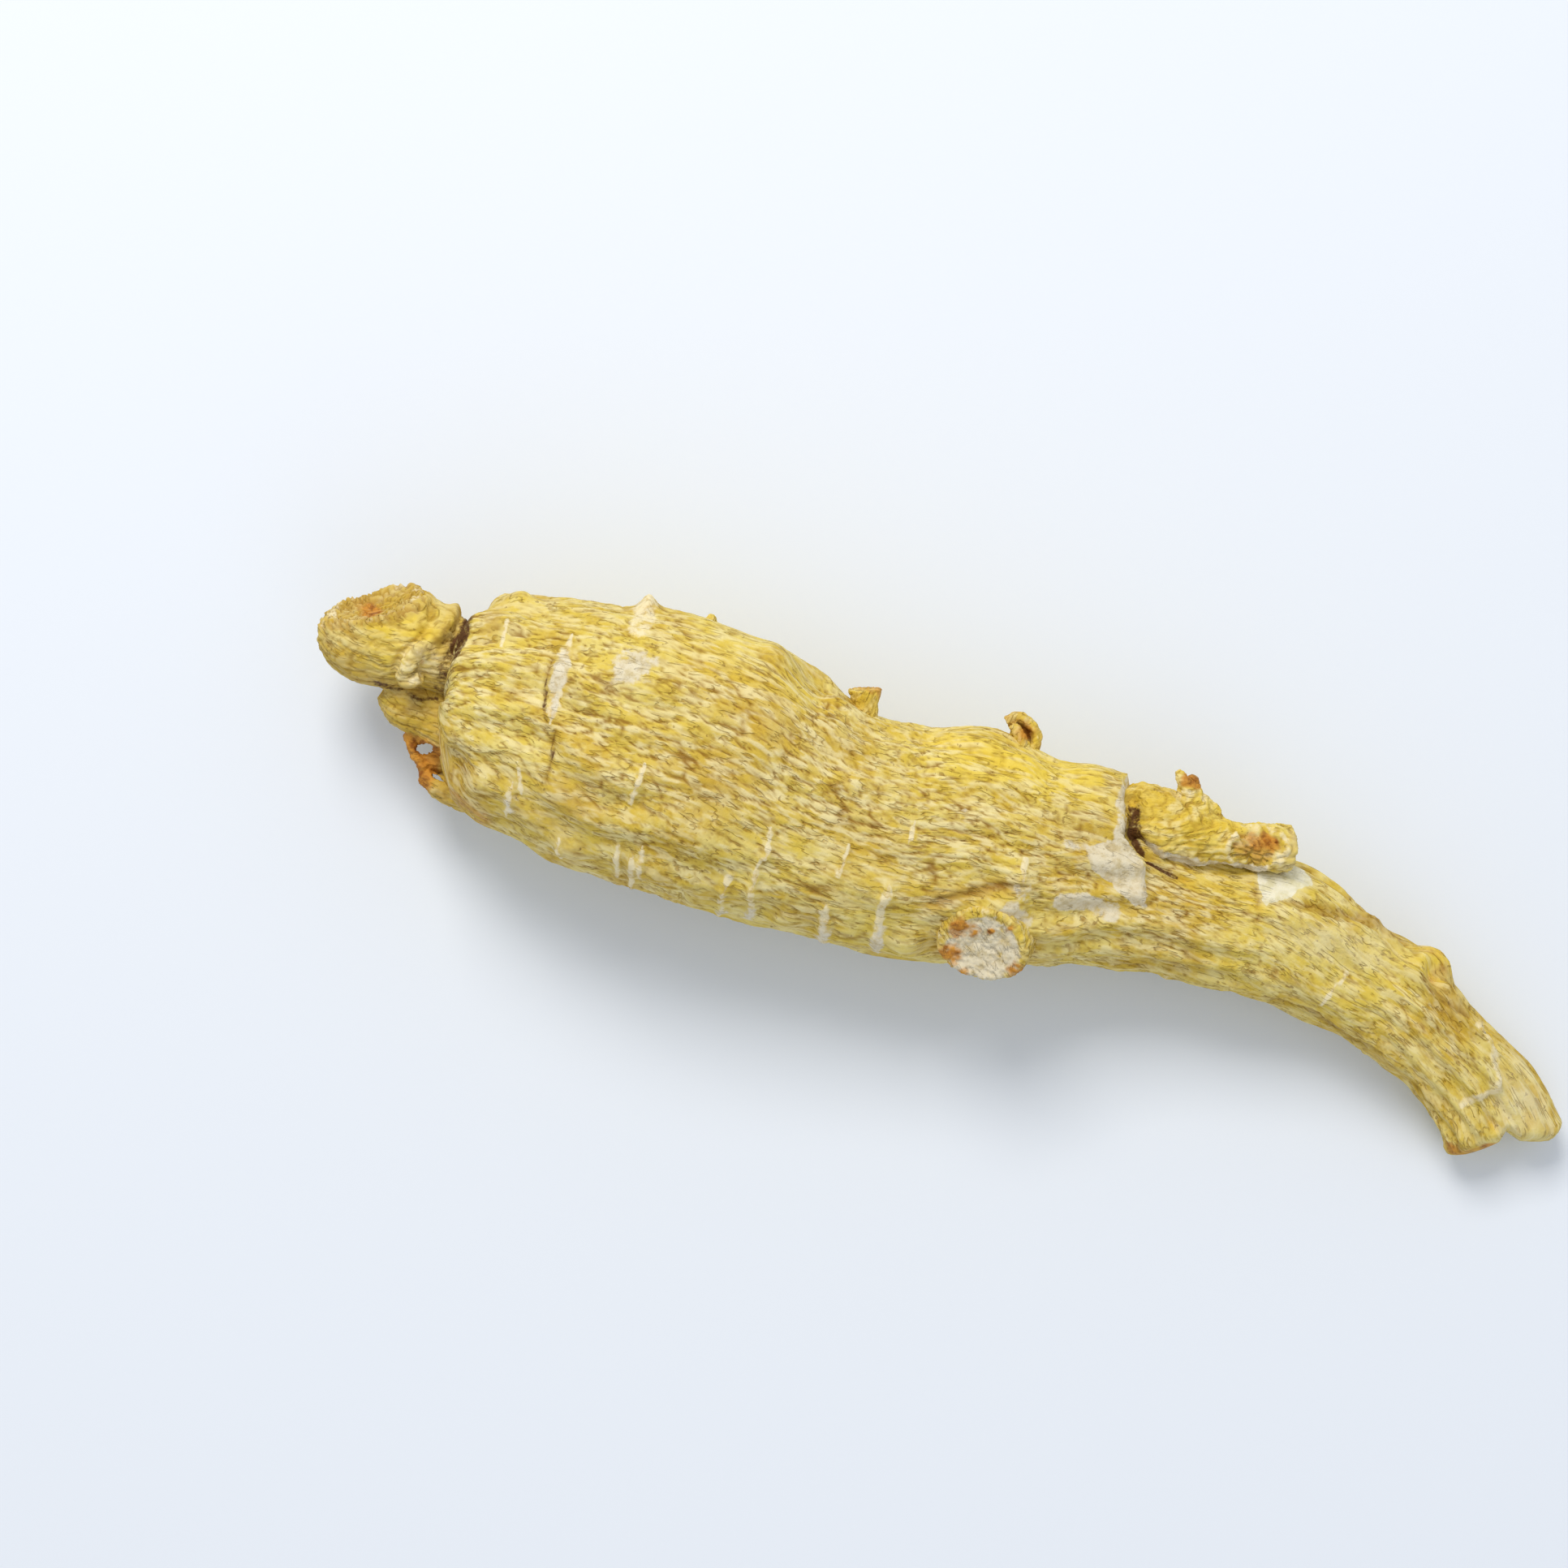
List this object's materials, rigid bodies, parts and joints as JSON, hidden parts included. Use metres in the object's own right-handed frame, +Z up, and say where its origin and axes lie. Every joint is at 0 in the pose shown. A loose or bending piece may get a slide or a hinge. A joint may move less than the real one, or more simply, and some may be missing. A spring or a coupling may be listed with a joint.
{
  "type": "american ginseng root",
  "caption": "Dried whole ginseng root: stout wrinkled tapering body with a scarred crown, ring marks, a broken side root, a knob scar and a curved forked tail.",
  "frame": {"origin": "centre of the root's bounding box, on the surface that it lies on", "axes": "+X along the root from its crown to its tail, +Y level across it towards the outer side of its curve, +Z up"},
  "size_m": [0.0999, 0.024, 0.0193],
  "materials": {
    "root_skin": "matte"
  },
  "bodies": {
    "root": {"ginseng_root": "root_skin"}
  },
  "joints": []
}
